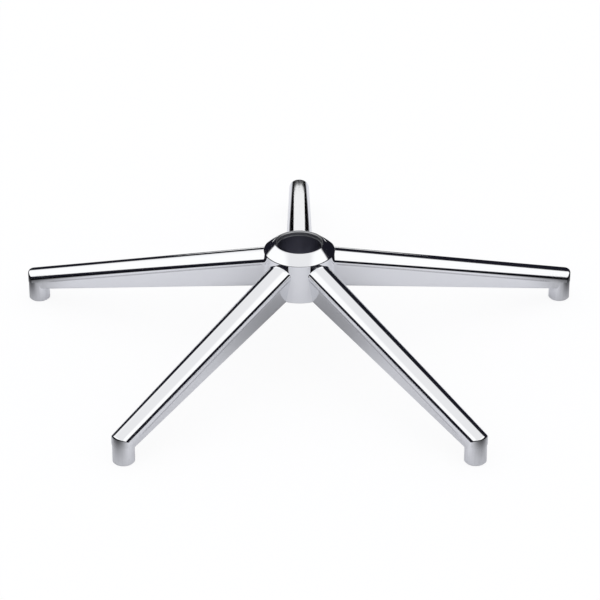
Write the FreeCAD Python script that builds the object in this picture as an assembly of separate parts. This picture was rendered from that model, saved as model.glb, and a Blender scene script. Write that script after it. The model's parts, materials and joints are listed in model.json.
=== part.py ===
import FreeCAD, Part
import math
import os

Vector = FreeCAD.Vector
UP = Vector(0, 0, 1)
HUB_AXIS = Vector(0, 0, 0)

# Driving dimensions in millimetres and degrees; heights are above the plane of the boss feet.

# The star: identical arms at equal angles, the first one along +Y.
ARM_COUNT = 5
FIRST_ARM_AZIMUTH = 90.0
CASTER_CIRCLE_RADIUS = 318.0

# Column seat: a short cylindrical lead-in above a ledge, then the self-holding taper.
TAPER_TOP_DIAMETER = 50.0
TAPER_RATIO = 1.0 / 20.0
LEDGE_WIDTH = 0.7
LEAD_IN_DEPTH = 5.0
SEAT_MOUTH_CHAMFER = 1.0

# Hub: a drafted wall, a crease, and a cone that rises to a narrow flat rim round the seat.
HUB_FOOT_HEIGHT = 68.0
HUB_WALL_HEIGHT = 47.5
HUB_WALL_DRAFT = 1.2
HUB_CONE_HEIGHT = 9.3
HUB_CONE_WIDTH = 11.7
HUB_RIM_WIDTH = 2.6
HUB_RIM_CHAMFER = 0.7
HUB_CREASE_ROUND = 1.5
HUB_FOOT_CHAMFER = 0.7

# Arm: straight and crowned, with round shoulders over an upright land. The crown's arc rises
# across the arm's width at the hub. The end is an arc, flatter than the boss and a fine lip
# proud of it. The sides below the land, at the parting line, are drafted inwards to a rounded foot.
ARM_WIDTH_AT_HUB = 30.0
ARM_CROWN_RISE = 9.0
ARM_CROWN_DROP_AT_HUB = 4.4
ARM_SHOULDER_ROUND = 9.0
ARM_END_ROUND = 2.5
ARM_END_FLATTENING = 1.0
ARM_END_LIP = 0.3
ARM_SIDE_LAND = 0.7
ARM_SIDE_DRAFT = 10.7
ARM_FOOT_DROP_AT_HUB = 1.0
ARM_FOOT_HEIGHT_AT_BOSS = 15.0
ARM_FOOT_ROUND = 2.5

# Caster boss that rounds off the arm's end, with a blind socket for the caster's stem.
BOSS_HEIGHT = 37.6
BOSS_DIAMETER = 24.0
BOSS_FOOT_CHAMFER = 1.0
SOCKET_DIAMETER = 11.0
SOCKET_DEPTH = 25.0
SOCKET_MOUTH_CHAMFER = 0.8

# Casting channel under each arm: open below, drafted, and crossed by recessed ribs.
CHANNEL_LIP = 3.6
CHANNEL_SKIN = 7.0
CHANNEL_DRAFT = 1.5
CHANNEL_HUB_WALL = 6.0
CHANNEL_BOSS_WALL = 3.0
RIB_COUNT = 3
RIB_THICKNESS = 3.0
RIB_RECESS = 4.0

# Radii and heights that follow from the driving dimensions.
TAPER_TOP_RADIUS = TAPER_TOP_DIAMETER / 2
LEAD_IN_RADIUS = TAPER_TOP_RADIUS + LEDGE_WIDTH
HUB_RIM_RADIUS = LEAD_IN_RADIUS + HUB_RIM_WIDTH
HUB_CREASE_RADIUS = HUB_RIM_RADIUS + HUB_CONE_WIDTH
HUB_FOOT_RADIUS = HUB_CREASE_RADIUS - HUB_WALL_HEIGHT * math.tan(math.radians(HUB_WALL_DRAFT))
HUB_CREASE_HEIGHT = HUB_FOOT_HEIGHT + HUB_WALL_HEIGHT
HUB_RIM_HEIGHT = HUB_CREASE_HEIGHT + HUB_CONE_HEIGHT
GAUGE_HEIGHT = HUB_RIM_HEIGHT - LEAD_IN_DEPTH
TAPER_FOOT_RADIUS = TAPER_TOP_RADIUS - (GAUGE_HEIGHT - HUB_FOOT_HEIGHT) * TAPER_RATIO / 2
BOSS_RADIUS = BOSS_DIAMETER / 2
SOCKET_RADIUS = SOCKET_DIAMETER / 2

# The arm's plan: from a start inside the column seat to side lines tangent to the boss.
ARM_REACH = CASTER_CIRCLE_RADIUS - HUB_CREASE_RADIUS
ARM_START = TAPER_FOOT_RADIUS / 2
ARM_FINISH = CASTER_CIRCLE_RADIUS + BOSS_DIAMETER
HALF_WIDTH_AT_HUB = ARM_WIDTH_AT_HUB / 2
HUB_CORNER_DISTANCE = math.hypot(HALF_WIDTH_AT_HUB, ARM_REACH)
SIDE_LEAN = math.atan2(HALF_WIDTH_AT_HUB, ARM_REACH) - math.asin(BOSS_RADIUS / HUB_CORNER_DISTANCE)
SIDE_END = CASTER_CIRCLE_RADIUS + BOSS_RADIUS * math.sin(SIDE_LEAN)

# The crown's radius, and the parting line one land below the foot of the shoulder at the hub.
CROWN_RADIUS = (HALF_WIDTH_AT_HUB ** 2 + ARM_CROWN_RISE ** 2) / (2 * ARM_CROWN_RISE)
CROWN_SLOPE = math.atan2(HUB_CREASE_HEIGHT - ARM_CROWN_DROP_AT_HUB - BOSS_HEIGHT, ARM_REACH)
SHOULDER_DEPTH = CROWN_RADIUS - math.sqrt(
    (CROWN_RADIUS - ARM_SHOULDER_ROUND) ** 2 - (HALF_WIDTH_AT_HUB - ARM_SHOULDER_ROUND) ** 2
)
PARTING_DEPTH = SHOULDER_DEPTH / math.cos(CROWN_SLOPE) + ARM_SIDE_LAND


def along_arm(at_hub, at_boss, radius):
    """A height at a distance from the hub axis, linear from the hub wall to the boss axis."""
    return at_hub + (at_boss - at_hub) * (radius - HUB_CREASE_RADIUS) / ARM_REACH


def crown_height(radius):
    return along_arm(HUB_CREASE_HEIGHT - ARM_CROWN_DROP_AT_HUB, BOSS_HEIGHT, radius)


def parting_height(radius):
    return crown_height(radius) - PARTING_DEPTH


def foot_height(radius):
    return along_arm(HUB_FOOT_HEIGHT - ARM_FOOT_DROP_AT_HUB, ARM_FOOT_HEIGHT_AT_BOSS, radius)


def half_width(radius):
    return HALF_WIDTH_AT_HUB - (radius - HUB_CREASE_RADIUS) * math.tan(SIDE_LEAN)


def half_foot_width(radius):
    depth = parting_height(radius) - foot_height(radius)
    return half_width(radius) - depth * math.tan(math.radians(ARM_SIDE_DRAFT))


def line(start, end):
    return Part.LineSegment(start, end).toShape()


def polygon_face(points):
    return Part.Face(Part.makePolygon(points + [points[0]]))


def turned(corners):
    """A solid of revolution about the hub axis from a profile in the XZ plane."""
    return polygon_face(corners).revolve(HUB_AXIS, UP, 360)


def ring_edges(shape, height):
    """The level circular edges of a turned shape at a height."""
    rings = [edge for edge in shape.Edges if isinstance(edge.Curve, Part.Circle)]
    return [edge for edge in rings if math.isclose(edge.Curve.Center.z, height, abs_tol=1e-6)]


def trapezoid(radius, half_low, low, half_high, high):
    """Corners of an upright section across the arm."""
    return [
        Vector(radius, -half_low, low),
        Vector(radius, half_low, low),
        Vector(radius, half_high, high),
        Vector(radius, -half_high, high),
    ]


def flat_sided(near, far):
    """A solid between two sections whose matching sides lie in flat faces."""
    faces = [polygon_face(near[::-1]), polygon_face(far)]
    for index in range(len(near)):
        faces.append(polygon_face([near[index - 1], near[index], far[index], far[index - 1]]))
    return Part.Solid(Part.Shell(faces))


def below_slope(height_at):
    """A block filling everything below a plane that slopes along the arm."""
    side = [
        Vector(ARM_START, -HUB_RIM_HEIGHT, height_at(ARM_START)),
        Vector(ARM_FINISH, -HUB_RIM_HEIGHT, height_at(ARM_FINISH)),
        Vector(ARM_FINISH, -HUB_RIM_HEIGHT, -HUB_RIM_HEIGHT),
        Vector(ARM_START, -HUB_RIM_HEIGHT, -HUB_RIM_HEIGHT),
    ]
    return polygon_face(side).extrude(Vector(0, 2 * HUB_RIM_HEIGHT, 0))


def below_crown():
    """A block filling everything below the crowned top, an arc run along the arm's slope."""
    start = Vector(ARM_START, 0, crown_height(ARM_START))
    run = Vector(ARM_FINISH, 0, crown_height(ARM_FINISH)) - start
    tilt = Vector(-run.z, 0, run.x).normalize()
    across = Vector(0, CROWN_RADIUS, 0)
    spring = start - tilt * CROWN_RADIUS
    depth = tilt * 2 * HUB_RIM_HEIGHT
    edges = [
        Part.Arc(spring - across, start, spring + across).toShape(),
        line(spring + across, spring + across - depth),
        line(spring + across - depth, spring - across - depth),
        line(spring - across - depth, spring - across),
    ]
    return Part.Face(Part.Wire(edges)).extrude(run)


def end_trim():
    """A tall block, wider than the arm, whose far side is the round of the arm's end."""
    centre = CASTER_CIRCLE_RADIUS - ARM_END_FLATTENING
    radius = BOSS_RADIUS + ARM_END_FLATTENING + ARM_END_LIP
    half = ARM_WIDTH_AT_HUB
    tip = Vector(centre + radius, 0, 0)
    edges = [
        line(Vector(0, half, 0), Vector(0, -half, 0)),
        line(Vector(0, -half, 0), Vector(centre, -half, 0)),
        line(Vector(centre, -half, 0), Vector(centre, -radius, 0)),
        Part.Arc(Vector(centre, -radius, 0), tip, Vector(centre, radius, 0)).toShape(),
        line(Vector(centre, radius, 0), Vector(centre, half, 0)),
        line(Vector(centre, half, 0), Vector(0, half, 0)),
    ]
    return Part.Face(Part.Wire(edges)).extrude(UP * 2 * HUB_RIM_HEIGHT)


def crowned_bar():
    """A bar with the arm's crowned top and round shoulders, run on straight past the boss."""
    near = half_width(ARM_START)
    far = half_width(ARM_FINISH)
    corners = [
        Vector(ARM_START, -near, 0),
        Vector(ARM_FINISH, -far, 0),
        Vector(ARM_FINISH, far, 0),
        Vector(ARM_START, near, 0),
    ]
    blank = polygon_face(corners).extrude(UP * 2 * HUB_RIM_HEIGHT).common(below_crown())
    crown = next(face for face in blank.Faces if isinstance(face.Surface, Part.Cylinder))
    lengthwise = [edge for edge in crown.Edges if edge.Length > ARM_REACH]
    return blank.makeFillet(ARM_SHOULDER_ROUND, lengthwise)


def arm_cap():
    """The arm above its parting line, trimmed to its rounded end, with a small round on that edge."""
    trimmed = crowned_bar().common(end_trim())
    rounds = [face for face in trimmed.Faces if isinstance(face.Surface, Part.Cylinder)]
    end = max(rounds, key=lambda face: abs(face.Surface.Axis.z))
    end_edges = [edge for edge in end.Edges if edge.BoundBox.ZMin > ARM_END_ROUND]
    return trimmed.makeFillet(ARM_END_ROUND, end_edges).cut(below_slope(parting_height))


def web_section(radius):
    """Section of the arm below its parting line, narrowing downwards."""
    return trapezoid(
        radius, half_foot_width(radius), foot_height(radius), half_width(radius), parting_height(radius)
    )


def arm_web():
    """The drafted sides of the arm, with rounded edges along the foot."""
    web = flat_sided(web_section(ARM_START), web_section(SIDE_END))
    lengthwise = [edge for edge in web.Edges if edge.Length > ARM_REACH]
    foot = sorted(lengthwise, key=lambda edge: edge.CenterOfMass.z)[:2]
    return web.makeFillet(ARM_FOOT_ROUND, foot)


def boss():
    """The upright round post under the arm's end, with a broken edge at its foot."""
    post = Part.makeCylinder(BOSS_RADIUS, HUB_RIM_HEIGHT, Vector(CASTER_CIRCLE_RADIUS, 0, 0))
    post = post.makeChamfer(BOSS_FOOT_CHAMFER, ring_edges(post, 0))
    return post.common(below_slope(parting_height))


def arm():
    return arm_cap().fuse(arm_web()).fuse(boss()).removeSplitter()


def hub():
    """The hub as a solid of revolution, before the column seat is bored."""
    corners = [
        Vector(0, 0, HUB_FOOT_HEIGHT),
        Vector(HUB_FOOT_RADIUS, 0, HUB_FOOT_HEIGHT),
        Vector(HUB_CREASE_RADIUS, 0, HUB_CREASE_HEIGHT),
        Vector(HUB_RIM_RADIUS, 0, HUB_RIM_HEIGHT),
        Vector(0, 0, HUB_RIM_HEIGHT),
    ]
    body = turned(corners)
    body = body.makeFillet(HUB_CREASE_ROUND, ring_edges(body, HUB_CREASE_HEIGHT))
    body = body.makeChamfer(HUB_RIM_CHAMFER, ring_edges(body, HUB_RIM_HEIGHT))
    return body.makeChamfer(HUB_FOOT_CHAMFER, ring_edges(body, HUB_FOOT_HEIGHT))


def column_seat():
    """The space that the column enters from above, open right through the hub."""
    corners = [
        Vector(0, 0, HUB_FOOT_HEIGHT),
        Vector(TAPER_FOOT_RADIUS, 0, HUB_FOOT_HEIGHT),
        Vector(TAPER_TOP_RADIUS, 0, GAUGE_HEIGHT),
        Vector(LEAD_IN_RADIUS, 0, GAUGE_HEIGHT),
        Vector(LEAD_IN_RADIUS, 0, HUB_RIM_HEIGHT - SEAT_MOUTH_CHAMFER),
        Vector(LEAD_IN_RADIUS + SEAT_MOUTH_CHAMFER, 0, HUB_RIM_HEIGHT),
        Vector(0, 0, HUB_RIM_HEIGHT),
    ]
    return turned(corners)


def caster_socket():
    """The blind hole up into a boss, with a broken edge at its mouth."""
    axis = Vector(CASTER_CIRCLE_RADIUS, 0, 0)
    hole = Part.makeCylinder(SOCKET_RADIUS, SOCKET_DEPTH, axis)
    mouth = Part.makeCone(SOCKET_RADIUS + SOCKET_MOUTH_CHAMFER, SOCKET_RADIUS, SOCKET_MOUTH_CHAMFER, axis)
    return hole.fuse(mouth)


def channel_section(radius):
    """Section of the casting channel, from below the foot up to the skin under the crown."""
    low = foot_height(radius)
    high = crown_height(radius) - CHANNEL_SKIN
    half_low = half_foot_width(radius) - CHANNEL_LIP
    half_high = half_low - (high - low) * math.tan(math.radians(CHANNEL_DRAFT))
    return trapezoid(radius, half_low, low, half_high, high)


def rib(radius):
    """A wall across the channel, recessed above the arm's foot."""
    near = radius - RIB_THICKNESS / 2
    far = radius + RIB_THICKNESS / 2
    half = HALF_WIDTH_AT_HUB
    side = [
        Vector(near, -half, foot_height(near) + RIB_RECESS),
        Vector(far, -half, foot_height(far) + RIB_RECESS),
        Vector(far, -half, HUB_RIM_HEIGHT),
        Vector(near, -half, HUB_RIM_HEIGHT),
    ]
    return polygon_face(side).extrude(Vector(0, 2 * half, 0))


def arm_channel():
    """The open space under an arm, less its ribs."""
    start = TAPER_TOP_RADIUS + CHANNEL_HUB_WALL
    finish = CASTER_CIRCLE_RADIUS - BOSS_RADIUS - CHANNEL_BOSS_WALL
    pitch = (finish - start) / (RIB_COUNT + 1)
    ribs = [rib(start + pitch * (index + 1)) for index in range(RIB_COUNT)]
    return flat_sided(channel_section(start), channel_section(finish)).cut(ribs)


def at_each_arm(shape):
    """Copies of a shape made along +X, one at each arm's azimuth."""
    copies = []
    for index in range(ARM_COUNT):
        copy = shape.copy()
        copy.rotate(HUB_AXIS, UP, FIRST_ARM_AZIMUTH + index * 360.0 / ARM_COUNT)
        copies.append(copy)
    return copies


def base_casting():
    """The whole casting, standing on the plane of its boss feet."""
    star = hub().multiFuse(at_each_arm(arm())).removeSplitter()
    spaces = [column_seat()] + at_each_arm(caster_socket()) + at_each_arm(arm_channel())
    return star.cut(spaces)


# The origin is on the hub axis, where the taper has its named top diameter.
casting = base_casting()
casting.translate(UP * -GAUGE_HEIGHT)
os.makedirs("parts", exist_ok=True)
casting.exportStep("parts/base_casting.step")
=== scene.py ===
# %% [markdown]
# # A polished five star base for an office chair
#
# The base is one aluminium die casting: a hub that takes the gas column, five crowned arms and
# five round bosses that take the casters. It is ground and polished until it reflects like a
# mirror, so its look is made by two things: a clean curved surface, and what it reflects.
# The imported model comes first, as a fixed frame that gives every size and place.

# %% Load the frame
import json
import math

import bmesh
import bpy
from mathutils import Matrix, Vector


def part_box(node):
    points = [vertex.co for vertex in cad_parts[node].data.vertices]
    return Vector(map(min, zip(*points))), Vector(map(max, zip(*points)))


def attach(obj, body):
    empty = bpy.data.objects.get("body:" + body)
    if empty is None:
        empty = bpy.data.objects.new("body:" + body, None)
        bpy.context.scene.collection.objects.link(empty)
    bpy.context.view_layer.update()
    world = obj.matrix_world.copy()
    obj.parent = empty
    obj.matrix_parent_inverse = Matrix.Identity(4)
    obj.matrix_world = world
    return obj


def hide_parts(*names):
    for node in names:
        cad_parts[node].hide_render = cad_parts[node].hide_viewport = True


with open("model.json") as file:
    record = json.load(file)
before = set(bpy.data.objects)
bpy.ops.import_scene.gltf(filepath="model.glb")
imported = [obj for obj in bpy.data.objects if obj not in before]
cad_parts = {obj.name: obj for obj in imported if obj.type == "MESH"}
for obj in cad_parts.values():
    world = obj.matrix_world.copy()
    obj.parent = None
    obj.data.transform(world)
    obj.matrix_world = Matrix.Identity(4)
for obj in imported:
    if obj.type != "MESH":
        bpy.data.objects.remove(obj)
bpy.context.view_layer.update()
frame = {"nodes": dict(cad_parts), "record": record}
print("frame nodes:", sorted(frame["nodes"]))

# %% [markdown]
# ## Sizes
#
# The record states where the caster sockets and the column's lead-in are, so the star's count,
# angle and radius are read from it. The other sizes are the casting's own, in millimetres, and
# each stands where it is first needed. Heights are measured above the plane of the boss feet, as
# on a surface plate, and a small helper brings them into the frame.

# %% Sizes from the record
MM = 0.001
mounts = {mount["name"]: mount for mount in frame["record"]["mounts"]}
sockets = [mount for name, mount in sorted(mounts.items()) if name.startswith("caster_socket")]
first_socket = Vector(sockets[0]["pos_m"])
ARM_COUNT = len(sockets)
FIRST_AZIMUTH = math.atan2(first_socket.y, first_socket.x)
CIRCLE_RADIUS = first_socket.xy.length
SOCKET_RADIUS = sockets[0]["dims"]["r_mm"] * MM
LEAD_IN_RADIUS = mounts["column_lead_in"]["dims"]["r_mm"] * MM
casting_low, casting_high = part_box("base_casting")
FOOT_LEVEL = casting_low[2]
RIM_LEVEL = casting_high[2]


def above_feet(height):
    """A height in millimetres above the boss feet, as a level in the frame."""
    return FOOT_LEVEL + height * MM


print(ARM_COUNT, "arms, caster circle radius", round(CIRCLE_RADIUS / MM, 1), "mm")

# %% [markdown]
# ## One arm
#
# The arm is what makes this base hard to model. Its top is a crowned surface, an arc swept down
# the slope. A round shoulder rolls from it into an upright land, and the end is cut off round,
# with a small round on its edge. Below the parting line, where the halves of the die met, the
# sides lean in to a rounded foot and run into the boss. A subdivision cage would only come near
# these curves, and a mirror finish shows every error, so each patch is worked out point by point
# from the rule behind it. First come the straight lines that run along the arm.

# %% Lines that run along the arm
CREASE_RADIUS = 40.0 * MM
REACH = CIRCLE_RADIUS - CREASE_RADIUS
CROWN_AT_HUB = above_feet(111.1)
CROWN_AT_BOSS = above_feet(37.6)
SLOPE = math.atan2(CROWN_AT_HUB - CROWN_AT_BOSS, REACH)
FOOT_AT_HUB = above_feet(67.0)
FOOT_AT_BOSS = above_feet(15.0)
ARM_HALF_WIDTH = 15.0 * MM
BOSS_RADIUS = 12.0 * MM
hub_corner = math.hypot(ARM_HALF_WIDTH, REACH)
LEAN = math.atan2(ARM_HALF_WIDTH, REACH) - math.asin(BOSS_RADIUS / hub_corner)
SIDE_END = CIRCLE_RADIUS + BOSS_RADIUS * math.sin(LEAN)


def along_arm(at_hub, at_boss, reach):
    """A level that changes evenly from the hub's crease to the boss."""
    return at_hub + (at_boss - at_hub) * (reach - CREASE_RADIUS) / REACH


def crown_level(reach):
    """Level of the middle of the crown."""
    return along_arm(CROWN_AT_HUB, CROWN_AT_BOSS, reach)


def foot_level(reach):
    """Level of the arm's foot."""
    return along_arm(FOOT_AT_HUB, FOOT_AT_BOSS, reach)


def half_width(reach):
    """Half the arm's width at the parting line."""
    return ARM_HALF_WIDTH - (reach - CREASE_RADIUS) * math.tan(LEAN)


print("the crown slopes", round(math.degrees(SLOPE), 2), "degrees")
print("the sides lean in", round(math.degrees(LEAN), 2), "degrees towards the boss")

# %% [markdown]
# ### Above the parting line
#
# The shoulder is the round that a polisher's hand would feel between the crown and the side. A
# Bevel modifier makes such a round from flat strips, but a ball that rolls along inside both
# surfaces gives it exactly: the ball touches each of them, and its own surface lies between. From
# the round a narrow land drops straight to the parting line.

# %% Parting line
CROWN_RADIUS = 17.0 * MM
SHOULDER_ROUND = 9.0 * MM
SIDE_LAND = 0.7 * MM
BALL_REACH = CROWN_RADIUS - SHOULDER_ROUND
shoulder_depth = CROWN_RADIUS - math.sqrt(BALL_REACH ** 2 - (ARM_HALF_WIDTH - SHOULDER_ROUND) ** 2)
PARTING_DEPTH = shoulder_depth / math.cos(SLOPE) + SIDE_LAND


def parting_level(reach):
    """Level of the parting line."""
    return crown_level(reach) - PARTING_DEPTH


print("parting line", round(PARTING_DEPTH / MM, 2), "mm below the crown")

# %% Half a section above the parting line
ALONG = Vector((math.cos(SLOPE), 0.0, -math.sin(SLOPE)))
OUT = Vector((math.sin(SLOPE), 0.0, math.cos(SLOPE)))
ASIDE = Vector((0.0, 1.0, 0.0))
SIDE_OUT = Vector((math.sin(LEAN), math.cos(LEAN), 0.0))
CROWN_END = Vector((CIRCLE_RADIUS, 0.0, CROWN_AT_BOSS))
CROWN_STEPS = 12
SHOULDER_STEPS = 14


def ball_in_shoulder(reach):
    """Centre of the ball that rolls inside the crown and the side, and its way to the crown."""
    centre = Vector((reach, half_width(reach), 0.0)) - SIDE_OUT * SHOULDER_ROUND
    rise = math.sqrt(BALL_REACH ** 2 - centre.y ** 2)
    fall = (CIRCLE_RADIUS - centre.x) * math.sin(SLOPE)
    centre.z = CROWN_AT_BOSS + (rise - CROWN_RADIUS + fall) / math.cos(SLOPE)
    return centre, (ASIDE * centre.y + OUT * rise) / BALL_REACH


def upper_section(reach):
    """Points from the middle of the crown to the parting line, each with its way outwards."""
    centre, to_crown = ball_in_shoulder(reach)
    touch = centre + to_crown * SHOULDER_ROUND
    axis = CROWN_END + ALONG * (touch - CROWN_END).dot(ALONG) - OUT * CROWN_RADIUS
    swing = math.asin(touch.y / CROWN_RADIUS)
    section = []
    for step in range(CROWN_STEPS):
        angle = swing * step / CROWN_STEPS
        way = ASIDE * math.sin(angle) + OUT * math.cos(angle)
        section.append((axis + way * CROWN_RADIUS, way))
    for step in range(SHOULDER_STEPS + 1):
        way = to_crown.slerp(SIDE_OUT, step / SHOULDER_STEPS)
        section.append((centre + way * SHOULDER_ROUND, way))
    section.append((Vector((reach, half_width(reach), parting_level(reach))), SIDE_OUT))
    return section


UPPER_ROWS = len(upper_section(SIDE_END))
print(UPPER_ROWS, "rows from the middle of the crown to the parting line")

# %% [markdown]
# ### The end over the boss
#
# The arm ends in an upright wall that is round in plan and stands a hair proud of the boss, as a
# trimmed casting does. Its edge is rounded by a smaller ball, which rolls under the section and
# along the wall at once. That place has no plain formula, so it is found by halving.

# %% The end of the arm
END_ROUND = 2.5 * MM
END_FLATTENING = 1.0 * MM
END_LIP = 0.3 * MM
END_CENTRE = CIRCLE_RADIUS - END_FLATTENING
END_RADIUS = BOSS_RADIUS + END_FLATTENING + END_LIP
END_STEPS = 6
HALVINGS = 40


def ball_in_end(reach, row):
    """Centre of the small ball under a row of the section, its way to that row and to the end."""
    point, way = upper_section(reach)[row]
    centre = point - way * END_ROUND
    return centre, way, Vector((centre.x - END_CENTRE, centre.y, 0.0))


def reach_of_end(row):
    """Where along the arm the ball touches the row and the upright end at once."""
    low, high = SIDE_END, CIRCLE_RADIUS + BOSS_RADIUS
    for attempt in range(HALVINGS):
        middle = (low + high) / 2
        if ball_in_end(middle, row)[2].length < END_RADIUS - END_ROUND:
            low = middle
        else:
            high = middle
    return low


def end_row(row):
    """Points round the edge of the end, from a row of the section to the upright wall."""
    centre, way, outward = ball_in_end(reach_of_end(row), row)
    ways = [way.slerp(outward.normalized(), step / END_STEPS) for step in range(END_STEPS + 1)]
    return [centre + turn * END_ROUND for turn in ways]


def on_parting(point):
    """The point straight above or below on the parting plane."""
    return Vector((point.x, point.y, parting_level(point.x)))


end_round = [end_row(row) for row in range(UPPER_ROWS - 1)]
end_round.append([on_parting(point) for point in end_round[-1]])
end_wall = [[row[-1], on_parting(row[-1])] for row in end_round[:-1]]
print("the arm ends at", round(end_wall[0][0].x / MM, 1), "mm from the hub axis")

# %% Rows along the arm above the parting line
ARM_START = 22.0 * MM
STRAIGHT_STEPS = 40


def upper_row(row):
    """Points along the arm from inside the hub to where the end's round begins."""
    finish = reach_of_end(row)
    pace = (SIDE_END - ARM_START) / STRAIGHT_STEPS
    reaches = [ARM_START + pace * step for step in range(STRAIGHT_STEPS)]
    reaches += [SIDE_END + (finish - SIDE_END) * step / END_STEPS for step in range(END_STEPS + 1)]
    return [upper_section(reach)[row][0] for reach in reaches]


upper = [upper_row(row) for row in range(UPPER_ROWS)]
print("crown width at the hub", round(2 * upper[CROWN_STEPS][0].y / MM, 1), "mm")

# %% [markdown]
# ### Below the parting line
#
# Here the sides are drafted, so that the casting lets go of the lower half of the die, and a round
# runs along the foot. A loft between a section at the hub and one at the boss would do, but its
# end would have to be trimmed by the boss. Each row along the arm is followed to the very point
# where it meets the boss, so that the two patches share their border.

# %% Sides and foot
SIDE_DRAFT = math.radians(10.7)
FOOT_ROUND = 2.5 * MM
SIDE_STEPS = 6
ROUND_STEPS = 6
FOOT_STEPS = 6


def foot_corner(reach):
    """Half the width at the foot, before the foot is rounded."""
    return half_width(reach) - (parting_level(reach) - foot_level(reach)) * math.tan(SIDE_DRAFT)


def lower_section(reach):
    """The arm's section below the parting line, from that line to the middle of the foot."""
    foot = foot_level(reach)
    corner = foot_corner(reach)
    inset = FOOT_ROUND * math.tan(math.pi / 4 - SIDE_DRAFT / 2)
    top = Vector((half_width(reach), parting_level(reach)))
    low = Vector((corner + inset * math.sin(SIDE_DRAFT), foot + inset * math.cos(SIDE_DRAFT)))
    points = [top.lerp(low, step / SIDE_STEPS) for step in range(SIDE_STEPS)]
    centre = Vector((corner - inset, foot + FOOT_ROUND))
    for step in range(ROUND_STEPS + 1):
        angle = -SIDE_DRAFT - (math.pi / 2 - SIDE_DRAFT) * step / ROUND_STEPS
        points.append(centre + Vector((math.cos(angle), math.sin(angle))) * FOOT_ROUND)
    for step in range(1, FOOT_STEPS + 1):
        points.append(Vector((centre.x * (1 - step / FOOT_STEPS), foot)))
    return points


print("sides drafted by", round(math.degrees(SIDE_DRAFT), 1), "degrees")

# %% Rows along the arm below the parting line
CORRECTIONS = 30


def reach_of_boss(row):
    """Where a lengthwise row of the lower section meets the boss."""
    if row == 0:
        return SIDE_END
    reach = CIRCLE_RADIUS - BOSS_RADIUS
    for attempt in range(CORRECTIONS):
        across = lower_section(reach)[row].x
        reach = CIRCLE_RADIUS - math.sqrt(BOSS_RADIUS ** 2 - across ** 2)
    return reach


def lower_row(row):
    """Points along the arm from inside the hub to the boss."""
    finish = reach_of_boss(row)
    points = []
    for step in range(STRAIGHT_STEPS + 1):
        reach = ARM_START + (finish - ARM_START) * step / STRAIGHT_STEPS
        across, level = lower_section(reach)[row]
        points.append(Vector((reach, across, level)))
    return points


lower = [lower_row(row) for row in range(SIDE_STEPS + ROUND_STEPS + FOOT_STEPS + 1)]
print("the foot meets the boss", round(lower[-1][-1].x / MM, 1), "mm from the hub axis")

# %% [markdown]
# ### Boss and caster socket
#
# The boss is a plain turned post with a chamfered foot, and the caster's pin goes up into its
# socket. A cylinder joined by a boolean would do, but its facets would not meet the arm's rows.
# The wall starts from the points where the arm ends, and each point carries a column of the boss
# straight down and into the socket.

# %% Boss wall, foot and caster socket
BOSS_AXIS = Vector((CIRCLE_RADIUS, 0.0, 0.0))
BOSS_CHAMFER = 1.0 * MM
SOCKET_CHAMFER = 0.8 * MM
SOCKET_DEPTH = 25.0 * MM
SOCKET_MOUTH = (SOCKET_RADIUS + SOCKET_CHAMFER, FOOT_LEVEL)
boss_profile = [
    (BOSS_RADIUS, FOOT_LEVEL + BOSS_CHAMFER),
    (BOSS_RADIUS - BOSS_CHAMFER, FOOT_LEVEL),
    SOCKET_MOUTH,
]
socket_profile = [
    SOCKET_MOUTH,
    (SOCKET_RADIUS, FOOT_LEVEL + SOCKET_CHAMFER),
    (SOCKET_RADIUS, FOOT_LEVEL + SOCKET_DEPTH),
    (0.0, FOOT_LEVEL + SOCKET_DEPTH),
]


def on_boss(point):
    """The nearest point of the boss wall, on the parting plane."""
    outward = Vector((point.x, point.y, 0.0)) - BOSS_AXIS
    return on_parting(BOSS_AXIS + outward.normalized() * BOSS_RADIUS)


def boss_column(top, profile):
    """Points of a turned profile in the upright half plane through a point of the boss wall."""
    outward = (Vector((top.x, top.y, 0.0)) - BOSS_AXIS) / BOSS_RADIUS
    return [BOSS_AXIS + outward * radius + Vector((0.0, 0.0, level)) for radius, level in profile]


end_outline = [row[1] for row in end_wall]
end_outline += end_round[-1][-2::-1]
end_outline += upper[-1][-2:STRAIGHT_STEPS - 1:-1]
lip = [[point, on_boss(point)] for point in end_outline]
boss_top = [row[1] for row in lip] + [row[-1] for row in lower[1:]]
boss_wall = [[top] + boss_column(top, boss_profile) for top in boss_top]
socket_wall = [boss_column(top, socket_profile) for top in boss_top]
print(len(boss_wall), "columns on half of each boss")

# %% [markdown]
# ## Writing node trees as expressions
#
# Finishes and patterns are both node trees. Linking dozens of nodes by hand hides the idea, so
# one small class wraps a socket: arithmetic on it adds Math nodes, and its one method adds any
# other node from its type, its settings and the values or links of its sockets.


# %% A socket that can be used in arithmetic
def find_socket(choices, key):
    """A socket by its position, its identifier or its name."""
    if isinstance(key, int):
        return choices[key]
    matches = [socket for socket in choices if key in (socket.identifier, socket.name)]
    return matches[0]


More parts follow.
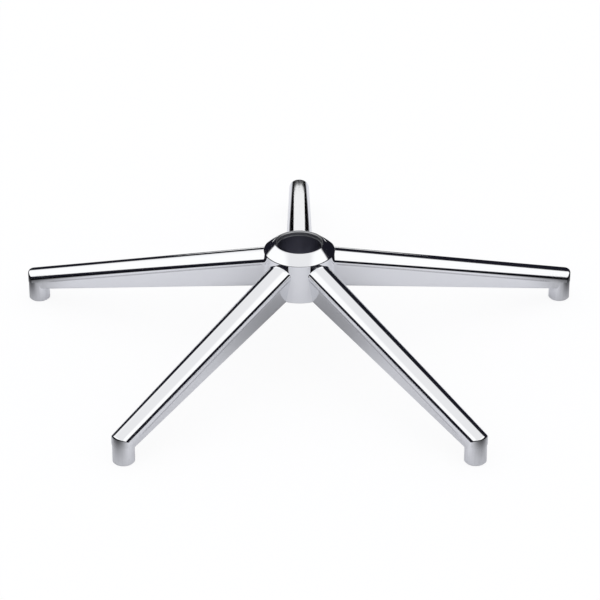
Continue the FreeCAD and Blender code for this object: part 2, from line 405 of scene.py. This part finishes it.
class Socket:
    """One output of a node tree. Arithmetic on it adds Math nodes to the tree."""

    def __init__(self, tree, socket=None):
        self.tree = tree
        self.socket = socket

    def output(self, key):
        """Another output of the same node."""
        return Socket(self.tree, find_socket(self.socket.node.outputs, key))

    def node(self, kind, settings=None, inputs=None, output=0):
        """Add any node: its type, its settings, then the values or links of its sockets."""
        made = self.tree.nodes.new(kind)
        for name, value in (settings or {}).items():
            setattr(made, name, value)
        for key, value in (inputs or {}).items():
            target = find_socket(made.inputs, key)
            if isinstance(value, Socket):
                self.tree.links.new(value.socket, target)
            else:
                target.default_value = value
        if not made.outputs:
            return None
        return Socket(self.tree, find_socket(made.outputs, output))

    def math(self, operation, *terms):
        """Add a Math node."""
        return self.node("ShaderNodeMath", {"operation": operation}, dict(enumerate(terms)))

    def __add__(self, other):
        return self.math("ADD", self, other)

    def __radd__(self, other):
        return self.math("ADD", other, self)

    def __sub__(self, other):
        return self.math("SUBTRACT", self, other)

    def __rsub__(self, other):
        return self.math("SUBTRACT", other, self)

    def __mul__(self, other):
        return self.math("MULTIPLY", self, other)

    def __rmul__(self, other):
        return self.math("MULTIPLY", other, self)

    def __truediv__(self, other):
        return self.math("DIVIDE", self, other)

    def __rtruediv__(self, other):
        return self.math("DIVIDE", other, self)


print("sockets can be added, subtracted, multiplied and divided")


# %% Helpers for shader trees
def start_tree(tree):
    """Empty a material's or world's tree and return a socket to add nodes from."""
    tree.nodes.clear()
    return Socket(tree)


def smooth_step(value, low, high):
    """0 below low, 1 above high, with a soft change between them."""
    inputs = {"Value": value, "From Min": low, "From Max": high}
    return value.node("ShaderNodeMapRange", {"interpolation_type": "SMOOTHSTEP"}, inputs)


def size_of(value):
    """The value without its sign."""
    return value.math("ABSOLUTE", value)


def blend_colours(factor, first, second):
    """The first colour where the factor is 0, the second where it is 1."""
    settings = {"data_type": "RGBA"}
    inputs = {"Factor_Float": factor, "A_Color": first, "B_Color": second}
    return factor.node("ShaderNodeMix", settings, inputs, "Result_Color")


def noise(position, scale, detail):
    """A cloudy pattern with a mean of about a half. A greater scale makes it finer."""
    inputs = {"Vector": position, "Scale": scale, "Detail": detail}
    return position.node("ShaderNodeTexNoise", {}, inputs)


def bump(height, distance, strength):
    """Relief without geometry: a surface direction that follows a height."""
    inputs = {"Height": height, "Distance": distance, "Strength": strength}
    return height.node("ShaderNodeBump", {}, inputs)


print("shader helpers ready")

# %% [markdown]
# ## The three finishes of one casting
#
# Outside, the metal is buffed to a mirror. Where a cutter has been, in the column seat and the
# caster sockets, it is bored and dark. Under the arms it is left as it came from the die. One
# material could hold all three behind masks, but three materials on three groups of faces are
# easier to read and to change. All are pure metal, and they differ in colour, roughness and relief.


# %% A metal to start from
def new_metal(name):
    """A material with an empty tree, a socket to start from and the place on the piece."""
    material = bpy.data.materials.new(name)
    material.use_nodes = True
    start = start_tree(material.node_tree)
    return material, start, start.node("ShaderNodeTexCoord", output="Object")


def finish_metal(start, inputs):
    """Close the tree with a fully metallic surface shader."""
    shader = start.node("ShaderNodeBsdfPrincipled", {}, {"Metallic": 1.0, **inputs})
    start.node("ShaderNodeOutputMaterial", {}, {"Surface": shader})


print("metal helpers ready")

# %% [markdown]
# ### Polished outside
#
# A buffing wheel leaves an almost perfect mirror with a very slight waviness and hair-fine lines.
# The parting line stays as a faint dull trace along each arm. The bosses, which the wheel reaches
# less well, are a little rougher, and upright streaks of painted reflection darken their colour.
# The trace could be painted on a map, but a distance worked out in the material from the arm's own
# sizes is sharp at any zoom.

# %% Where a point of the outside lies
polished, start, position = new_metal("polished_aluminium")
parts = start.node("ShaderNodeSeparateXYZ", {}, {"Vector": position})
level_place = start.node("ShaderNodeCombineXYZ", {}, {"X": parts, "Y": parts.output("Y")})
from_axis = start.node("ShaderNodeVectorMath", {"operation": "LENGTH"}, {0: level_place}, "Value")
below_crown = CROWN_AT_HUB - math.tan(SLOPE) * (from_axis - CREASE_RADIUS) - parts.output("Z")
off_parting = size_of(PARTING_DEPTH - below_crown)
near_boss = smooth_step(from_axis, CIRCLE_RADIUS - 2 * BOSS_RADIUS, CIRCLE_RADIUS - BOSS_RADIUS)
on_arm = smooth_step(from_axis, CREASE_RADIUS, CREASE_RADIUS + 4 * MM) * (1 - near_boss)
boss_side = near_boss * smooth_step(below_crown, 2 * MM, 6 * MM)
print("nodes so far in", polished.name, len(polished.node_tree.nodes))

# %% Polished outside
POLISH_COOL = (0.915, 0.925, 0.945, 1.0)
POLISH_PALE = (0.945, 0.95, 0.96, 1.0)
POLISH_DULL = (0.62, 0.62, 0.64, 1.0)
POLISH_ROUGHNESS = 0.05
TRACE_ROUGHNESS = 0.20
TRACE_HALF_WIDTH = 1.6 * MM
REFLECTION_STREAK_SHARE = 0.15
BOSS_ROUGHNESS = 0.06
waves = noise(position, scale=28.0, detail=1.0)
smudges = noise(position, scale=60.0, detail=4.0)
upright = start.node("ShaderNodeMapping", {}, {"Vector": position, "Scale": (1.0, 1.0, 0.08)})
lines = noise(upright, scale=2600.0, detail=2.0)
trace = on_arm * (1 - smooth_step(off_parting, 0.3 * MM, TRACE_HALF_WIDTH))
# Painted reflection: darker upright streaks on the boss sides stand in for streaks reflected in the
# polished cylinder.
painted_reflection_streaks = boss_side * smooth_step(noise(upright, scale=420.0, detail=2.0), 0.45, 0.65)
tone = blend_colours(smudges, POLISH_COOL, POLISH_PALE)
gloss = POLISH_ROUGHNESS + 0.03 * smudges + 0.02 * lines
finish_metal(start, {
    "Base Color": blend_colours(trace + REFLECTION_STREAK_SHARE * painted_reflection_streaks, tone, POLISH_DULL),
    "Roughness": gloss + TRACE_ROUGHNESS * trace + BOSS_ROUGHNESS * boss_side,
    "Normal": bump(waves, distance=0.4 * MM, strength=0.12),
})
print("made", polished.name)

# %% [markdown]
# ### Machined seat and sockets
#
# The column seat and the caster sockets are bored after casting, and the cutter leaves fine rings.
# They look dark, because a bore reflects mostly itself, and their colour is also painted dark as
# painted shade inside the bores. Real grooves this fine would cost thousands of faces for something
# that is barely seen, so a sine of the height makes them as relief. Above the ledge the short
# lead-in is painted paler, a painted highlight at the mouth of the seat.

# %% Machined seat and sockets
# Painted shade: the seat and sockets are painted dark for the shade inside the bores, with real stains
# varying it, and the lead-in is painted paler as a painted highlight.
SEAT_SHADE_DARK = (0.18, 0.18, 0.225, 1.0)
SEAT_SHADE_PALE = (0.27, 0.27, 0.33, 1.0)
LEAD_IN_HIGHLIGHT = (0.42, 0.43, 0.44, 1.0)
SEAT_ROUGHNESS = 0.36
LEDGE_LEVEL = 0.0
RING_RATE = 4200.0
machined, start, position = new_metal("machined_aluminium")
level = start.node("ShaderNodeSeparateXYZ", {}, {"Vector": position}, "Z")
swing = level * RING_RATE
turned_rings = swing.math("SINE", swing)
stains = noise(position, scale=90.0, detail=5.0)
above_ledge = smooth_step(level, LEDGE_LEVEL - 0.6 * MM, LEDGE_LEVEL + 0.2 * MM)
finish_metal(start, {
    "Base Color": blend_colours(above_ledge, blend_colours(stains, SEAT_SHADE_DARK, SEAT_SHADE_PALE), LEAD_IN_HIGHLIGHT),
    "Roughness": SEAT_ROUGHNESS + 0.12 * stains,
    "Normal": bump(turned_rings, distance=0.08 * MM, strength=0.35),
})
print("made", machined.name)

# %% [markdown]
# ### Cast grain under the arms
#
# Nobody polishes the channels under the arms. They keep the skin that the die gave them: dull,
# finely grained, and clouded where the metal flowed. Two noises make it, a fine one for the grain
# and a broad one for the clouds, because one noise with more detail would tie them together.

# %% Cast grain under the arms
CAST_DARK = (0.46, 0.47, 0.48, 1.0)
CAST_PALE = (0.60, 0.60, 0.61, 1.0)
CAST_ROUGHNESS = 0.48
as_cast, start, position = new_metal("as_cast_aluminium")
grain = noise(position, scale=900.0, detail=3.0)
clouds = noise(position, scale=45.0, detail=3.0)
finish_metal(start, {
    "Base Color": blend_colours(clouds, CAST_DARK, CAST_PALE),
    "Roughness": CAST_ROUGHNESS + 0.14 * grain,
    "Normal": bump(grain, distance=0.3 * MM, strength=0.4),
})
FINISHES = [polished, machined, as_cast]
POLISHED, MACHINED, AS_CAST = range(len(FINISHES))
print("made", as_cast.name)

# %% [markdown]
# ## Sew the arm together
#
# The patches share their border points, so merging equal points closes them into one skin. Each
# patch covers half of the arm and is added twice, the second time with its sign across the arm
# turned. A Mirror modifier would do the same, but its seam would still have to be checked. The
# print below shows that no edge is left open.


# %% Helpers for patches and pieces
def add_patch(mesh, rows, finish, mirrored):
    """A sheet of quads through rows of points, on either side of the arm."""
    flip = -1.0 if mirrored else 1.0
    grid = [[mesh.verts.new((point.x, point.y * flip, point.z)) for point in row] for row in rows]
    for near, far in zip(grid, grid[1:]):
        for index in range(len(near) - 1):
            face = mesh.faces.new((near[index], near[index + 1], far[index + 1], far[index]))
            face.material_index = finish


def open_edges(mesh):
    """The number of edges that don't join exactly two faces."""
    return sum(not edge.is_manifold for edge in mesh.edges)


def new_piece(name, mesh):
    """An object at the origin that carries the mesh and the three finishes."""
    data = bpy.data.meshes.new(name)
    mesh.to_mesh(data)
    mesh.free()
    for material in FINISHES:
        data.materials.append(material)
    piece = bpy.data.objects.new(name, data)
    bpy.context.scene.collection.objects.link(piece)
    return piece


print("piece helpers ready")

# %% Sew the patches into one closed arm
SAME_PLACE = 1e-6
SLIVER = 1e-7
arm_mesh = bmesh.new()
for mirrored in (False, True):
    for rows in (upper, end_round, end_wall, lip, lower, boss_wall):
        add_patch(arm_mesh, rows, POLISHED, mirrored)
    add_patch(arm_mesh, socket_wall, MACHINED, mirrored)
bmesh.ops.remove_doubles(arm_mesh, verts=arm_mesh.verts, dist=SAME_PLACE)
bmesh.ops.dissolve_degenerate(arm_mesh, edges=arm_mesh.edges, dist=SLIVER)
bmesh.ops.holes_fill(arm_mesh, edges=[edge for edge in arm_mesh.edges if edge.is_boundary])
bmesh.ops.recalc_face_normals(arm_mesh, faces=arm_mesh.faces)
print("arm faces", len(arm_mesh.faces), "open edges", open_edges(arm_mesh))
arm = new_piece("arm", arm_mesh)

# %% [markdown]
# ## The casting channel under the arm
#
# A die cast arm is hollow below, so that its walls cool evenly: a drafted channel with a few
# cross ribs that stop short of the foot. It could be cut pocket by pocket. It is made as the
# steel core that leaves it, because that is one shape: full height between the ribs, low under
# them, and reaching a little past the foot so that the cut is clean.

# %% Section of the core
CHANNEL_START = 31.0 * MM
CHANNEL_FINISH = 303.0 * MM
CHANNEL_LIP = 3.6 * MM
CHANNEL_SKIN = 7.0 * MM
CHANNEL_DRAFT = math.radians(1.5)
RIB_COUNT = 3
RIB_THICKNESS = 3.0 * MM
RIB_RECESS = 4.0 * MM
CUT_PAST = 2.0 * MM


def core_section(reach):
    """Half widths and levels of the core: below the foot, at the foot of the ribs, at the top."""
    foot = foot_level(reach)
    mouth = foot_corner(reach) - CHANNEL_LIP
    levels = [foot - CUT_PAST, foot + RIB_RECESS, crown_level(reach) - CHANNEL_SKIN]
    return [(mouth - (level - foot) * math.tan(CHANNEL_DRAFT), level) for level in levels]


pitch = (CHANNEL_FINISH - CHANNEL_START) / (RIB_COUNT + 1)
core_ends = [CHANNEL_START]
for rib in range(1, RIB_COUNT + 1):
    middle = CHANNEL_START + rib * pitch
    core_ends += [middle - RIB_THICKNESS / 2, middle + RIB_THICKNESS / 2]
core_ends.append(CHANNEL_FINISH)
print(RIB_COUNT, "ribs", round(pitch / MM, 1), "mm apart")

# %% Skin of the core
core_mesh = bmesh.new()
rings = []
for reach in core_ends:
    section = core_section(reach)
    ring = [core_mesh.verts.new((reach, -half, level)) for half, level in section]
    ring += [core_mesh.verts.new((reach, half, level)) for half, level in reversed(section)]
    rings.append(ring)
for index, (near, far) in enumerate(zip(rings, rings[1:])):
    is_pocket = index % 2 == 0
    loop = near if is_pocket else [near[0], near[1], near[4], near[5]]
    other = far if is_pocket else [far[0], far[1], far[4], far[5]]
    for side in range(len(loop)):
        core_mesh.faces.new((loop[side - 1], loop[side], other[side], other[side - 1]))
    if is_pocket:
        for ring in (near, far):
            core_mesh.faces.new((ring[1], ring[2], ring[3], ring[4]))
for ring in (rings[0], rings[-1]):
    core_mesh.faces.new((ring[0], ring[1], ring[4], ring[5]))
for face in core_mesh.faces:
    face.material_index = AS_CAST
bmesh.ops.recalc_face_normals(core_mesh, faces=core_mesh.faces)
print("core faces", len(core_mesh.faces), "open edges", open_edges(core_mesh))
core = new_piece("channel_core", core_mesh)

# %% [markdown]
# ## Geometry Nodes: turning and repeating
#
# Two rules make the rest. The hub and the column seat are turned about the hub axis, and the arms
# repeat round it. Each rule is a small node tree with named inputs, so the number of steps or of
# arms is changed in one place. A Spin operator would do the turning too, but it leaves no rule
# behind. Both trees end in plain geometry with its finish set.


# %% Helpers for Geometry Nodes trees
def new_tree(name, inputs):
    """A tree with a Geometry input, further named inputs and a Geometry output."""
    tree = bpy.data.node_groups.new(name, "GeometryNodeTree")
    tree.interface.new_socket("Geometry", in_out="INPUT", socket_type="NodeSocketGeometry")
    for label, kind in inputs:
        tree.interface.new_socket(label, in_out="INPUT", socket_type=kind)
    tree.interface.new_socket("Geometry", in_out="OUTPUT", socket_type="NodeSocketGeometry")
    start = Socket(tree)
    return tree, start, start.node("NodeGroupInput")


def run_tree(piece, tree, values):
    """Run a tree on a piece and keep the result as the piece's own plain mesh."""
    modifier = piece.modifiers.new(tree.name, "NODES")
    modifier.node_group = tree
    for item in tree.interface.items_tree:
        if item.in_out == "INPUT" and item.name in values:
            modifier[item.identifier] = values[item.name]
    graph = bpy.context.evaluated_depsgraph_get()
    made = bpy.data.meshes.new_from_object(piece.evaluated_get(graph))
    piece.modifiers.clear()
    piece.data = made
    return piece


print("tree helpers ready")

# %% Tree that turns a profile about the hub axis
turning_inputs = [("Steps", "NodeSocketInt"), ("Finish", "NodeSocketMaterial")]
turning, start, given = new_tree("turned_about_hub", turning_inputs)
steps = given.output("Steps")
size = start.node("GeometryNodeAttributeDomainSize", {}, {"Geometry": given}, "Point Count")
grid = start.node("GeometryNodeMeshGrid", {}, {"Vertices X": steps + 1, "Vertices Y": size})
index = start.node("GeometryNodeInputIndex")
column = (index / size).math("FLOOR", index / size)
row = index - column * size
profile_point = start.node("GeometryNodeInputPosition")
sampled = start.node(
    "GeometryNodeSampleIndex",
    {"data_type": "FLOAT_VECTOR"},
    {"Geometry": given, "Value": profile_point, "Index": row},
)
parts = start.node("ShaderNodeSeparateXYZ", {}, {"Vector": sampled})
turn = column * (2 * math.pi) / steps
ring_x = parts * turn.math("COSINE", turn)
ring_y = parts * turn.math("SINE", turn)
place = start.node("ShaderNodeCombineXYZ", {}, {"X": ring_x, "Y": ring_y, "Z": parts.output("Z")})
moved = start.node("GeometryNodeSetPosition", {}, {"Geometry": grid, "Position": place})
closed = start.node("GeometryNodeMergeByDistance", {}, {"Geometry": moved, "Distance": SAME_PLACE})
plain = start.node("GeometryNodeRealizeInstances", {}, {"Geometry": closed})
coating = {"Geometry": plain, "Material": given.output("Finish")}
coated = start.node("GeometryNodeSetMaterial", {}, coating)
start.node("NodeGroupOutput", {}, {"Geometry": coated})
print("nodes in", turning.name, len(turning.nodes))

# %% Tree that repeats one arm round the hub
repeating_inputs = [
    ("Count", "NodeSocketInt"),
    ("First Azimuth", "NodeSocketFloat"),
    ("Finish", "NodeSocketMaterial"),
]
repeating, start, given = new_tree("repeated_round_hub", repeating_inputs)
count = given.output("Count")
points = start.node("GeometryNodePoints", {}, {"Count": count})
index = start.node("GeometryNodeInputIndex")
azimuth = given.output("First Azimuth") + index * (2 * math.pi) / count
spin = start.node("ShaderNodeCombineXYZ", {}, {"Z": azimuth})
placing = {"Points": points, "Instance": given, "Rotation": spin}
star = start.node("GeometryNodeInstanceOnPoints", {}, placing)
plain = start.node("GeometryNodeRealizeInstances", {}, {"Geometry": star})
slot = start.node("GeometryNodeInputMaterialIndex")
same = {"data_type": "INT", "operation": "EQUAL"}
outside = start.node("FunctionNodeCompare", same, {"A_INT": slot, "B_INT": POLISHED})
coating = {"Geometry": plain, "Selection": outside, "Material": given.output("Finish")}
coated = start.node("GeometryNodeSetMaterial", {}, coating)
start.node("NodeGroupOutput", {}, {"Geometry": coated})
print("nodes in", repeating.name, len(repeating.nodes))

# %% Repeat the arm and its core
for piece in (arm, core):
    run_tree(piece, repeating, {"Count": ARM_COUNT, "First Azimuth": FIRST_AZIMUTH, "Finish": polished})
    print(piece.name, "faces", len(piece.data.polygons))

# %% [markdown]
# ## Hub and column seat
#
# The hub is a drafted wall, a creased edge with a small round on it, and a cone up to the narrow
# rim. The seat inside it is a short lead-in, a ledge and the long taper that holds the gas column
# by friction alone. Cones and cylinders would build them in layers, but a profile that is turned
# is how the toolmaker and the machinist make them, and it keeps every corner in one list.


# %% Helpers for profiles
def profile_piece(name, corners):
    """A piece that holds only the points of a profile, as radius and level."""
    mesh = bmesh.new()
    for radius, level in corners:
        mesh.verts.new((radius, 0.0, level))
    return new_piece(name, mesh)


def rounded_corner(before, corner, after, radius, steps):
    """Points of a round that touches both lines of a corner."""
    into = (before - corner).normalized()
    out = (after - corner).normalized()
    half = into.angle(out) / 2
    centre = corner + (into + out).normalized() * (radius / math.sin(half))
    first = (corner + into * (radius / math.tan(half)) - centre).normalized()
    last = (corner + out * (radius / math.tan(half)) - centre).normalized()
    return [centre + first.slerp(last, step / steps) * radius for step in range(steps + 1)]


print("profile helpers ready")

# %% Hub
TURN_STEPS = 192
CREASE_STEPS = 10
CREASE_ROUND = 1.5 * MM
EDGE_CHAMFER = 0.7 * MM
HUB_FOOT_RADIUS = 39.005 * MM
HUB_FOOT_LEVEL = above_feet(68.0)
CREASE_LEVEL = above_feet(115.5)
RIM_RADIUS = 28.3 * MM
hub_foot = Vector((HUB_FOOT_RADIUS, HUB_FOOT_LEVEL))
crease = Vector((CREASE_RADIUS, CREASE_LEVEL))
rim = Vector((RIM_RADIUS, RIM_LEVEL))
edge_inset = Vector((EDGE_CHAMFER, 0.0))
wall_rise = (crease - hub_foot).normalized() * EDGE_CHAMFER
cone_fall = (crease - rim).normalized() * EDGE_CHAMFER
hub_corners = [Vector((0.0, HUB_FOOT_LEVEL)), hub_foot - edge_inset, hub_foot + wall_rise]
hub_corners += rounded_corner(hub_foot, crease, rim, CREASE_ROUND, CREASE_STEPS)
hub_corners += [rim + cone_fall, rim - edge_inset, Vector((0.0, RIM_LEVEL))]
hub = run_tree(profile_piece("hub", hub_corners), turning, {"Steps": TURN_STEPS, "Finish": polished})
print("hub faces", len(hub.data.polygons))

# %% Column seat
TAPER_TOP_RADIUS = 25.0 * MM
TAPER_RATIO = 1 / 20
MOUTH_CHAMFER = 1.0 * MM
seat_end = HUB_FOOT_LEVEL - CUT_PAST
taper_end = TAPER_TOP_RADIUS - (LEDGE_LEVEL - seat_end) * TAPER_RATIO / 2
seat_corners = [
    (0.0, seat_end),
    (taper_end, seat_end),
    (TAPER_TOP_RADIUS, LEDGE_LEVEL),
    (LEAD_IN_RADIUS, LEDGE_LEVEL),
    (LEAD_IN_RADIUS, RIM_LEVEL - MOUTH_CHAMFER),
    (LEAD_IN_RADIUS + 2 * MOUTH_CHAMFER, RIM_LEVEL + MOUTH_CHAMFER),
    (0.0, RIM_LEVEL + MOUTH_CHAMFER),
]
seat = profile_piece("column_seat", seat_corners)
run_tree(seat, turning, {"Steps": TURN_STEPS, "Finish": machined})
print("seat faces", len(seat.data.polygons))

# %% [markdown]
# ## One casting
#
# Exact booleans join the arms to the hub and take away the seat and the channels. The cut faces
# keep the finish of the piece that cut them. Joining the meshes without a boolean would look much
# the same from above, but it would leave hidden walls inside the metal.


# %% Join and cut
def face_outwards(piece):
    """Turn every face of a closed piece outwards."""
    mesh = bmesh.new()
    mesh.from_mesh(piece.data)
    bmesh.ops.recalc_face_normals(mesh, faces=mesh.faces)
    mesh.to_mesh(piece.data)
    mesh.free()


for piece in (hub, seat, arm, core):
    face_outwards(piece)
for operation, tool in (("UNION", arm), ("DIFFERENCE", seat), ("DIFFERENCE", core)):
    cut = hub.modifiers.new(tool.name, "BOOLEAN")
    cut.operation = operation
    cut.object = tool
    cut.solver = "EXACT"
    cut.material_mode = "TRANSFER"
graph = bpy.context.evaluated_depsgraph_get()
casting_data = bpy.data.meshes.new_from_object(hub.evaluated_get(graph))
casting = bpy.data.objects.new("star_base", casting_data)
bpy.context.scene.collection.objects.link(casting)
for piece in (hub, seat, arm, core):
    bpy.data.objects.remove(piece)
print("joined faces", len(casting_data.polygons))

# %% Clean the casting
JOIN_DISTANCE = 2e-6
JOIN_SLIVER = 1e-6
SHARP_ANGLE = math.radians(20.0)
mesh = bmesh.new()
mesh.from_mesh(casting_data)
bmesh.ops.remove_doubles(mesh, verts=mesh.verts, dist=JOIN_DISTANCE)
bmesh.ops.dissolve_degenerate(mesh, edges=mesh.edges, dist=JOIN_SLIVER)
print("casting faces", len(mesh.faces), "open edges", open_edges(mesh))
print("volume", round(mesh.calc_volume() * 1e6, 1), "cubic centimetres")
mesh.to_mesh(casting_data)
mesh.free()
casting_data.materials.pop(index=0)
casting_data.shade_smooth()
casting_data.set_sharp_from_angle(angle=SHARP_ANGLE)
print("finishes", [material.name for material in casting_data.materials])

# %% [markdown]
# ## The studio
#
# A mirror finish shows the studio, so the studio is part of the look. Product photographers hang
# a white tent over such metal and keep the room dark below it: the tent makes the tops white, and
# the dark band between the tent and the table draws the black lines along every edge. Here the
# tent hangs a little askew. Its edge is higher at the back than at the front, most of all at the
# back right, and it rises again at the far left and right. A pale grey seam runs over its middle
# from front to back. The world shows all this to reflected rays alone. The camera sees plain
# white, and the light on the floor is even. A photographed studio would need an image, and lamps
# alone would leave the mirror empty.

# %% World
WHITE = (1.0, 1.0, 1.0, 1.0)
ROOM_DARK = (0.010, 0.010, 0.016, 1.0)
TENT_WHITE = (1.06, 1.06, 1.06, 1.0)
SEAM_GREY = (0.86, 0.86, 0.87, 1.0)
TENT_EDGE = 0.43
EDGE_TO_RIGHT = 0.05
EDGE_TO_BACK = 0.20
EDGE_TWIST = 0.28
EDGE_AT_WINGS = 0.18
EDGE_SOFTNESS = 0.05
world = bpy.data.worlds.new("studio")
bpy.context.scene.world = world
world.use_nodes = True
world.cycles.sampling_method = "NONE"
start = start_tree(world.node_tree)
toward = start.node("ShaderNodeTexCoord", output="Generated")
parts = start.node("ShaderNodeSeparateXYZ", {}, {"Vector": toward})
right = parts.output("X")
back = parts.output("Y")
wings = smooth_step(size_of(right), 0.76, 0.92)
askew = EDGE_TO_RIGHT * right + EDGE_TO_BACK * back + EDGE_TWIST * right * back
edge = TENT_EDGE + askew + EDGE_AT_WINGS * wings
tent = smooth_step(parts.output("Z") - edge, -EDGE_SOFTNESS, EDGE_SOFTNESS)
off_seam = smooth_step(size_of(right), 0.28, 0.50)
room = blend_colours(tent, ROOM_DARK, blend_colours(off_seam, SEAM_GREY, TENT_WHITE))
reflected = start.node("ShaderNodeLightPath", output="Is Glossy Ray")
view = blend_colours(reflected, WHITE, room)
light = start.node("ShaderNodeBackground", {}, {"Color": view, "Strength": 1.0})
start.node("ShaderNodeOutputWorld", {}, {"Surface": light})
print("nodes in", world.name, len(world.node_tree.nodes))

# %% [markdown]
# ## Floor and card
#
# The floor is plain and pale, and it keeps a faint shadow below the star. In the metal it shows a
# painted pool of light, an oval that ends in the dark, with painted shade towards the front and a
# painted shadow below the hub.
# A white card stands behind the paper, and the crown of the arm that points away mirrors it. The
# card widens upwards, which gives that arm two even dark lines, and its lower edge is cut to a
# shallow arch, which gives the arm's tip its dark cap. Lamps could light the paper so, but they
# would also light the floor that the camera sees, so the pool of light and its shade are painted
# into the paper's material, for reflected rays alone.


# %% A sheet of the studio
def stage_sheet(name, corners, material):
    """A flat sheet of the studio, made from its corners."""
    data = bpy.data.meshes.new(name)
    data.from_pydata(corners, [], [tuple(range(len(corners)))])
    data.materials.append(material)
    sheet = bpy.data.objects.new(name, data)
    bpy.context.scene.collection.objects.link(sheet)
    return sheet


print("sheet helper ready")

# %% Light on the paper
LIGHT_POOL_MIDDLE = 0.05
LIGHT_POOL_HALF_WIDTH = 0.36
LIGHT_POOL_HALF_LENGTH = 0.50
HUB_SHADE = 0.45
FRONT_SHADE = 0.92
paper = bpy.data.materials.new("floor_paper")
paper.use_nodes = True
start = start_tree(paper.node_tree)
place = start.node("ShaderNodeTexCoord", output="Object")
parts = start.node("ShaderNodeSeparateXYZ", {}, {"Vector": place})
back = parts.output("Y")
across = parts.output("X") / LIGHT_POOL_HALF_WIDTH
along = (back - LIGHT_POOL_MIDDLE) / LIGHT_POOL_HALF_LENGTH
square = across * across + along * along
way_out = square.math("SQRT", square)
# Painted light: for reflected rays an oval pool of light is painted on the paper, with a painted shadow
# below the hub and painted shade towards the front.
painted_light_pool = 1 - smooth_step(way_out, 0.76, 1.04)
painted_hub_shadow = HUB_SHADE + (1 - HUB_SHADE) * smooth_step(way_out, 0.08, 0.42)
painted_front_shade = FRONT_SHADE + (1 - FRONT_SHADE) * smooth_step(back, -0.16, -0.04)
lit = painted_light_pool * painted_hub_shadow * painted_front_shade
print("paper", 2 * LIGHT_POOL_HALF_WIDTH, "m by", 2 * LIGHT_POOL_HALF_LENGTH, "m")

# %% Floor
FLOOR_PALE = 0.79
FLOOR_SEEN = 0.12
FLOOR_RADIUS = 1.2
FLOOR_CORNERS = 96
RED, GREEN, BLUE = 0.985, 0.99, 1.045
seen = start.node("ShaderNodeLightPath", output="Is Camera Ray")
pale = FLOOR_PALE * (1 - seen.output("Is Glossy Ray") * (1 - lit))
shade = pale + seen * (FLOOR_SEEN - pale)
tint = {"Red": shade * RED, "Green": shade * GREEN, "Blue": shade * BLUE}
surface = start.node("ShaderNodeBsdfPrincipled", {}, {
    "Base Color": start.node("ShaderNodeCombineColor", {}, tint),
    "Roughness": 1.0,
    "Specular IOR Level": 0.0,
    "Emission Color": seen * (1 - FLOOR_SEEN),
    "Emission Strength": 1.0,
})
start.node("ShaderNodeOutputMaterial", {}, {"Surface": surface})
turns = [2 * math.pi * corner / FLOOR_CORNERS for corner in range(FLOOR_CORNERS)]
floor_edge = [(FLOOR_RADIUS * math.cos(turn), FLOOR_RADIUS * math.sin(turn), FOOT_LEVEL) for turn in turns]
floor = stage_sheet("floor", floor_edge, paper)
print("floor at", round(FOOT_LEVEL, 4))

# %% White card
CARD_HALF_WIDTH = 0.04
CARD_SPLAY = 1.16
CARD_LOW = 0.017
CARD_ARCH = 0.031
CARD_HIGH = 0.20
CARD_BACK = 0.62
CARD_GLOW = 0.92
white = bpy.data.materials.new("card_white")
white.use_nodes = True
start = start_tree(white.node_tree)
glow = start.node("ShaderNodeEmission", {}, {"Color": WHITE, "Strength": CARD_GLOW})
start.node("ShaderNodeOutputMaterial", {}, {"Surface": glow})
outline = [(-1, CARD_LOW), (0, CARD_ARCH), (1, CARD_LOW), (1, CARD_HIGH), (-1, CARD_HIGH)]
card_corners = []
for side, height in outline:
    far = CARD_HALF_WIDTH + CARD_SPLAY * height
    card_corners.append((side * far, CARD_BACK, FOOT_LEVEL + height))
card = stage_sheet("card", card_corners, white)
card.visible_camera = False
card.visible_diffuse = False
card.visible_shadow = False
print("card", round(CARD_HIGH - CARD_LOW, 3), "m high")

# %% [markdown]
# ## Camera
#
# The view is from the front, between two arms, about thirty degrees up and from far away with a
# long lens, so the star is almost free of perspective. A camera could be placed by eye, but this
# one was fitted to the tips, the rim and the crease of the photographed base.

# %% Camera
TARGET = Vector((0.0007, 0.0, -0.06903))
DISTANCE = 3.4054
ELEVATION = math.radians(29.478)
AZIMUTH = math.radians(-90.065)
SENSOR_WIDTH = 36.0
LENS = 180.88
camera_data = bpy.data.cameras.new("camera")
camera_data.sensor_width = SENSOR_WIDTH
camera_data.lens = LENS
camera = bpy.data.objects.new("camera", camera_data)
level_way = Vector((math.cos(AZIMUTH), math.sin(AZIMUTH), 0.0)) * math.cos(ELEVATION)
camera.location = TARGET + (level_way + Vector((0.0, 0.0, math.sin(ELEVATION)))) * DISTANCE
camera.rotation_euler = (TARGET - camera.location).to_track_quat("-Z", "Y").to_euler()
bpy.context.scene.collection.objects.link(camera)
bpy.context.scene.camera = camera
bpy.context.scene.view_settings.view_transform = "Standard"
print("camera at", [round(value, 3) for value in camera.location])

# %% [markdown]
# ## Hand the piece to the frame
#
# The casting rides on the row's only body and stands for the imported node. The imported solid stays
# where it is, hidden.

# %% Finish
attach(casting, "root")
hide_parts("base_casting")
